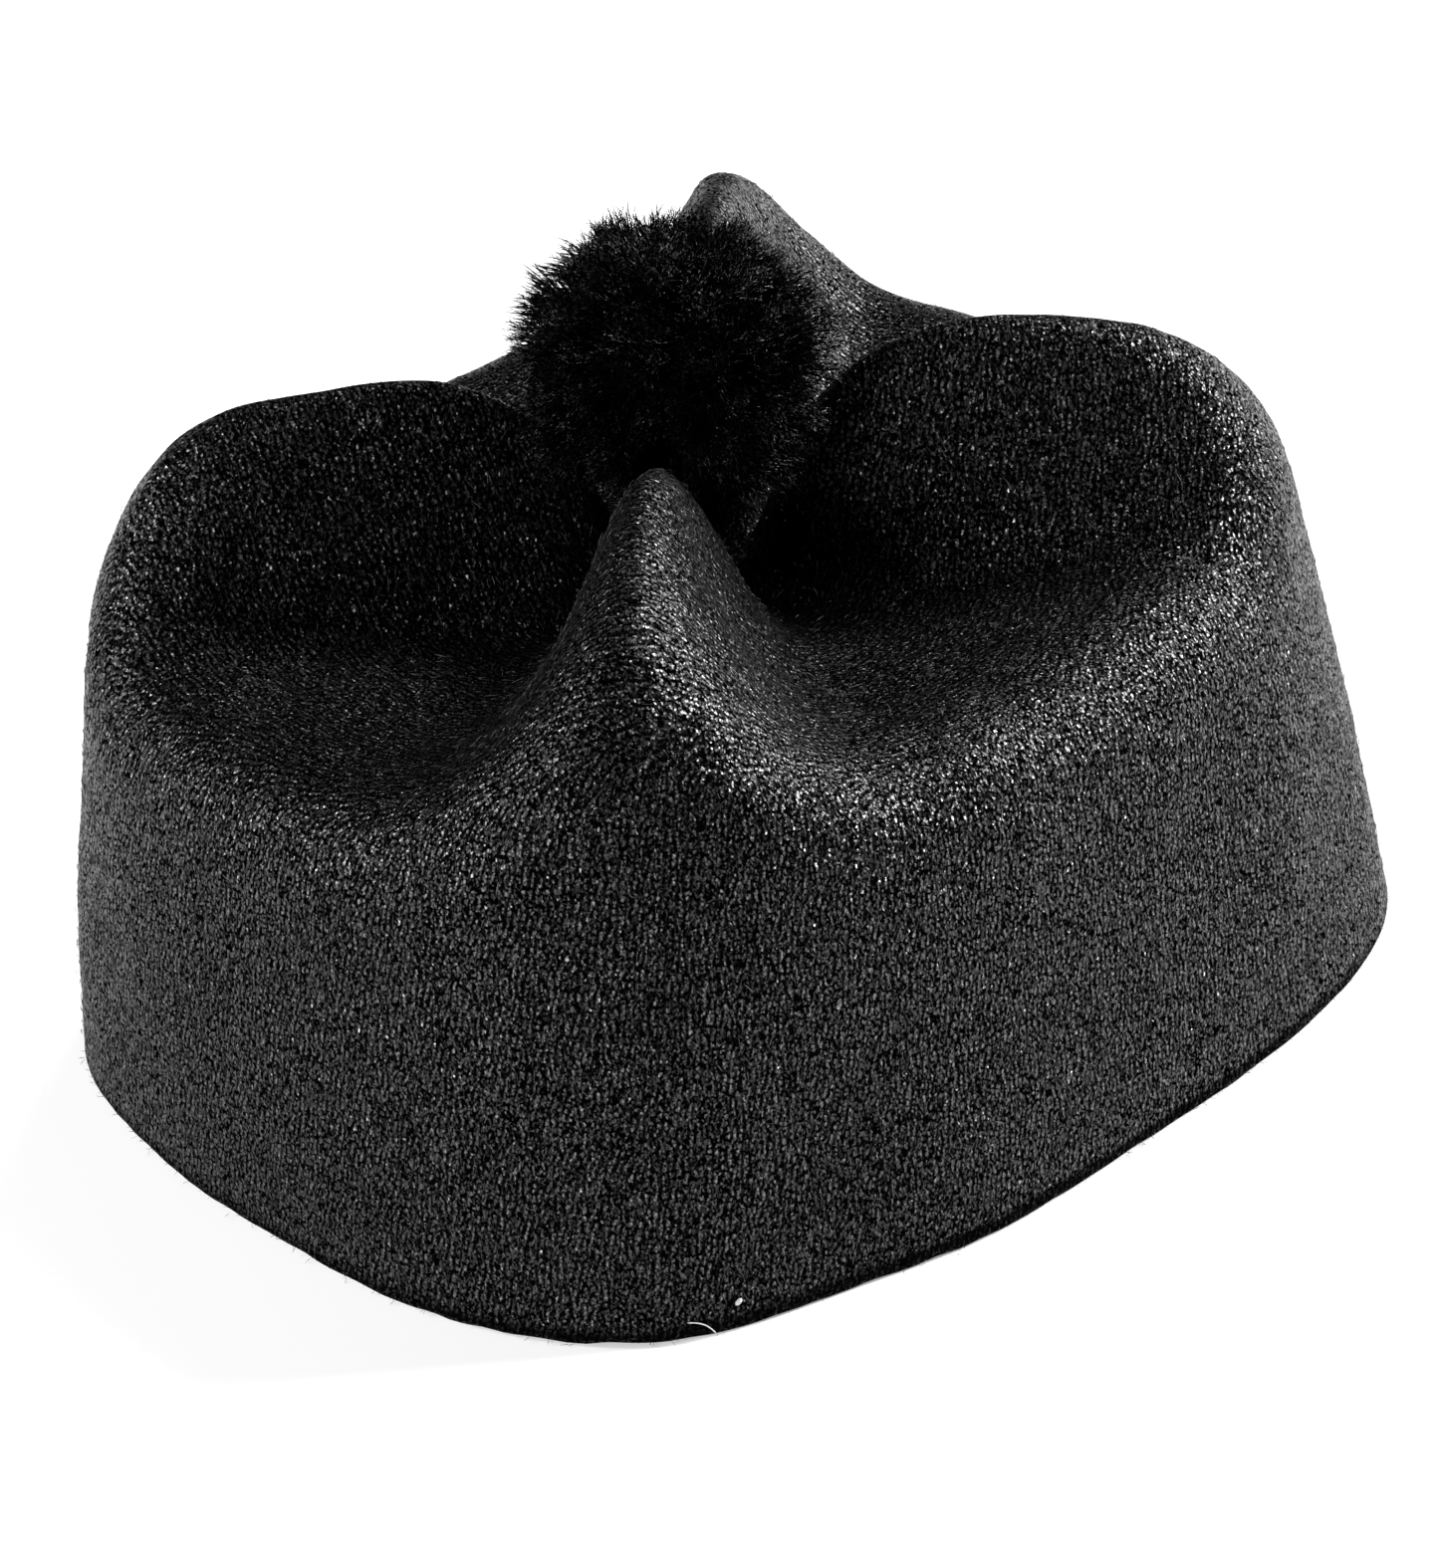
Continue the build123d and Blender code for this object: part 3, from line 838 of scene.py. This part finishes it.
def trimmed(paths):
    """The strands cut off before they come near the felt, and which of them are left."""
    count, length, _ = paths.shape
    blocked = clearance(paths) < LEAST_ROOM
    last = np.where(blocked.any(1), blocked.argmax(1) - 1, length - 1)
    kept = last >= 2
    at = np.linspace(0, 1, length)[None, :] * last[kept, None]
    low = np.floor(at).astype(int)
    high = np.minimum(low + 1, length - 1)
    pick = np.arange(kept.sum())[:, None]
    left = paths[kept]
    return left[pick, low] + (left[pick, high] - left[pick, low]) * (at - low)[..., None], kept


def even_directions(count):
    """Directions spread evenly over the sphere."""
    i = np.arange(count) + 0.5
    z = 1 - 2 * i / count
    turn = i * pi * (3 - 5**0.5)
    r = np.sqrt(1 - z * z)
    return np.stack([r * np.cos(turn), r * np.sin(turn), z], -1)


def yarn_reach(heading, rng):
    """Length of the strands in each direction: a trimmed ball gone lumpy."""
    reach = YARN_REACH + 0.9 * wander(heading * YARN_REACH, 12, 12)
    reach = reach + 0.9 * rng.normal(size=len(heading))
    for across, up, near, height in LOBES:
        lobe = unit(np.array(RIGHT) * across + np.array(UP) * up + np.array(BACK) * near)
        reach = reach + height * np.exp((heading @ lobe - 1) / LOBE_WIDTH)
    return reach


def core_reach(heading):
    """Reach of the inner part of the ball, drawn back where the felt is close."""
    reach = np.full(heading.shape[:-1], YARN_REACH - CORE_DEPTH)
    for _ in range(16):
        close = clearance(PILE_CENTRE + heading * reach[..., None]) < LEAST_ROOM + CORE_ROOM
        reach = np.where(close, reach - 0.8, reach)
    return reach


def yarn():
    """Tufts of cut yarn, each a bundle of crimped fibres that opens towards its end."""
    rng = np.random.default_rng(11)
    count = TUFTS * TUFT_FIBRES
    heading = unit(even_directions(TUFTS) + rng.normal(size=(TUFTS, 3)) * 0.1)
    reach = yarn_reach(heading, rng)
    start = core_reach(heading) - 2
    steps = np.linspace(0, 1, 6)
    side = unit(np.cross(heading, unit(rng.normal(size=(TUFTS, 3)))))
    other = np.cross(heading, side)
    swirl = rng.uniform(0, 2 * pi, (TUFTS, 1)) + steps * rng.uniform(0.5, 3, (TUFTS, 1))
    bend = rng.uniform(1.0, 5.0, (TUFTS, 1)) * steps**1.3
    line = side[:, None] * (np.cos(swirl) * bend)[..., None]
    line = line + other[:, None] * (np.sin(swirl) * bend)[..., None]
    heading, side, other, reach, start, line = (
        np.repeat(v, TUFT_FIBRES, 0) for v in (heading, side, other, reach, start, line)
    )
    turn = rng.uniform(0, 2 * pi, (count, 1))
    spread = np.sqrt(rng.uniform(size=(count, 1))) * (0.7 + 1.6 * steps**2)
    reach = reach * rng.normal(0.99, 0.035, count)
    along = start[:, None] + (reach - start)[:, None] * steps
    paths = heading[:, None] * along[..., None] + line
    open_to = side[:, None] * np.cos(turn)[..., None] + other[:, None] * np.sin(turn)[..., None]
    paths = paths + open_to * spread[..., None]
    paths = paths + rng.normal(size=paths.shape) * (0.36 * steps)[None, :, None]
    paths = PILE_CENTRE + paths * (1, 1, PILE_FLATTEN)
    paths, kept = trimmed(paths)
    radii = rng.uniform(0.075, 0.13, (count, 1))[kept] * np.array([1, 1, 1, 1, 0.9, 0.5])
    cuts = np.linspace(0, len(paths), 4).astype(int)
    for name, first, last in zip("abc", cuts[:-1], cuts[1:]):
        points, faces = tubes(paths[first:last], radii[first:last], 3)
        piece = place_mesh("pompom_yarn_" + name, points, faces, "pompom", YARN_BLACK)
    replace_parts(piece, "pompom_pile")


def yarn_hairs():
    """Single fine fibres that stray out of the ball."""
    rng = np.random.default_rng(13)
    heading = unit(even_directions(HAIRS) + rng.normal(size=(HAIRS, 3)) * 0.1)
    reach = yarn_reach(heading, rng)
    lean = unit(heading + rng.normal(size=(HAIRS, 3)) * 0.7)
    steps = np.linspace(0, 1, 6)[None, :, None]
    length = rng.gamma(2.0, 0.9, HAIRS)[:, None, None] + 2
    paths = heading[:, None] * (reach[:, None, None] - 2.5) + lean[:, None] * length * steps
    paths = paths + rng.normal(size=(HAIRS, 1, 3)) * 0.6 * np.sin(steps * pi)
    paths, kept = trimmed(PILE_CENTRE + paths * (1, 1, PILE_FLATTEN))
    radii = np.repeat(rng.uniform(0.03, 0.055, (HAIRS, 1))[kept], 6, 1)
    points, faces = tubes(paths, radii, 3)
    return place_mesh("pompom_hairs", points, faces, "pompom", YARN_BLACK)


def yarn_core():
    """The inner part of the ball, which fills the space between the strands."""
    turn = np.linspace(0, 2 * pi, CORE_TURNS, endpoint=False)[None, :]
    climb = np.linspace(pi / 2 - 0.05, -pi / 2 + 0.05, CORE_CLIMBS)[:, None]
    turn, climb = np.broadcast_arrays(turn, climb)
    heading = np.stack([np.cos(climb) * np.cos(turn), np.cos(climb) * np.sin(turn), np.sin(climb)], -1)
    reach = core_reach(heading) + 0.4 * wander(heading * 18, 5, 14)
    flat = (PILE_CENTRE + heading * reach[..., None]).reshape(-1, 3)
    faces = [face[::-1] for face in grid_faces(CORE_CLIMBS, CORE_TURNS)]
    faces += [tuple(range(CORE_TURNS)), tuple(range(len(flat) - 1, len(flat) - CORE_TURNS - 1, -1))]
    return place_mesh("pompom_core", flat, faces, "pompom", YARN_SHADE)


yarn()
yarn_hairs()
yarn_core()


# ---- floor, lights and camera: metres and watts ----
FLOOR_REACH, FLOOR_SIDES = 1.25, 96
FLOOR_GLOW = 0.32
BACKDROP_REACH, BACKDROP_TURNS, BACKDROP_CLIMBS = 3.5, 48, 25
LIGHT_DISTANCE, LIGHT_SIZE = 1.4, 0.4
AIM = Vector((0, 0, 0.05))   # the middle of the object
WORLD_LIGHT = 0.03
# Each light's direction round the object, from the viewer's side (0) over the right (90) and
# the back (180), its climb and its power.
LIGHTS = (
    ("key_right", 102, 27, 40.0), ("key_back", 132, 20, 11.0), ("back", 155, 55, 8.0),
    ("left", 268, 25, 17.0), ("left_front", 318, 26, 13.0),
)


def staged(name, points, faces, material):
    """Part of the studio."""
    mesh = bpy.data.meshes.new(name)
    mesh.from_pydata(points, [], faces)
    mesh.materials.append(material)
    piece = bpy.data.objects.new(name, mesh)
    bpy.context.scene.collection.objects.link(piece)
    return piece


def floor():
    """Round pale floor that glows a little, so that the cap throws next to no shadow on it."""
    n = Nodes("pale_floor")
    tone = n.ramp(n.noise(300, 2, 0.5), (0.3, 0.76), (0.7, 0.78))
    turns = np.linspace(0, 2 * pi, FLOOR_SIDES, endpoint=False)
    points = [(FLOOR_REACH * cos(turn), FLOOR_REACH * sin(turn), 0) for turn in turns]
    material = n.finish(
        Base_Color=tone, Roughness=0.8, Specular_IOR_Level=0.1,
        Emission_Color=(1, 1, 1, 1), Emission_Strength=FLOOR_GLOW,
    )
    staged("floor", points, [tuple(range(FLOOR_SIDES))], material)


def backdrop():
    """White studio all round, which lends the object no light."""
    n = Nodes("white_backdrop")
    tone = n.ramp(n.noise(900, 2, 0.5), (0.3, 0.94), (0.7, 1.0))
    turns = np.linspace(0, 2 * pi, BACKDROP_TURNS, endpoint=False)
    turn, climb = np.meshgrid(turns, np.linspace(1.5, -1.5, BACKDROP_CLIMBS))
    points = np.stack([np.cos(climb) * np.cos(turn), np.cos(climb) * np.sin(turn), np.sin(climb)], -1)
    faces = grid_faces(BACKDROP_CLIMBS, BACKDROP_TURNS)
    faces += [
        tuple(range(BACKDROP_TURNS - 1, -1, -1)),
        tuple(range((BACKDROP_CLIMBS - 1) * BACKDROP_TURNS, BACKDROP_CLIMBS * BACKDROP_TURNS)),
    ]
    material = n.finish(Base_Color=(0, 0, 0, 1), Emission_Color=tone, Emission_Strength=1.0)
    piece = staged("backdrop", points.reshape(-1, 3) * BACKDROP_REACH, faces, material)
    piece.visible_diffuse = piece.visible_glossy = False
    piece.visible_transmission = piece.visible_shadow = False


def camera():
    """The photo's viewing angle."""
    data = bpy.data.cameras.new("camera")
    data.sensor_fit = "VERTICAL"
    data.sensor_width = data.sensor_height = SENSOR
    data.lens = LENS
    data.clip_start, data.clip_end = 0.05, 20
    piece = bpy.data.objects.new("camera", data)
    bpy.context.scene.collection.objects.link(piece)
    right = RIGHT * cos(VIEW_ROLL) - UP * sin(VIEW_ROLL)
    up = RIGHT * sin(VIEW_ROLL) + UP * cos(VIEW_ROLL)
    turn = Matrix((right, up, BACK)).transposed().to_4x4()
    spot = VIEW_TARGET + BACK * VIEW_DISTANCE + RIGHT * VIEW_OFFSET[0] + UP * VIEW_OFFSET[1]
    piece.matrix_world = Matrix.Translation(spot * MM) @ turn
    bpy.context.scene.camera = piece


def area_light(name, direction, power):
    """A soft round light, aimed at the middle of the object."""
    data = bpy.data.lights.new(name, "AREA")
    data.shape = "DISK"
    data.size = LIGHT_SIZE
    data.energy = power
    piece = bpy.data.objects.new(name, data)
    bpy.context.scene.collection.objects.link(piece)
    piece.location = AIM + direction.normalized() * LIGHT_DISTANCE
    piece.rotation_mode = "QUATERNION"
    piece.rotation_quaternion = (AIM - piece.location).to_track_quat("-Z", "Y")


floor()
backdrop()
camera()
for name, turn, climb, power in LIGHTS:
    level = RIGHT * sin(radians(turn)) - AWAY * cos(radians(turn))
    lift = Vector((0, 0, 1)) * sin(radians(climb))
    area_light(name, level * cos(radians(climb)) + lift, power)

world = bpy.data.worlds.new("studio")
world.use_nodes = True
world.node_tree.nodes["Background"].inputs[0].default_value = (1, 1, 1, 1)
world.node_tree.nodes["Background"].inputs[1].default_value = WORLD_LIGHT
bpy.context.scene.world = world
bpy.context.scene.view_settings.view_transform = "Standard"
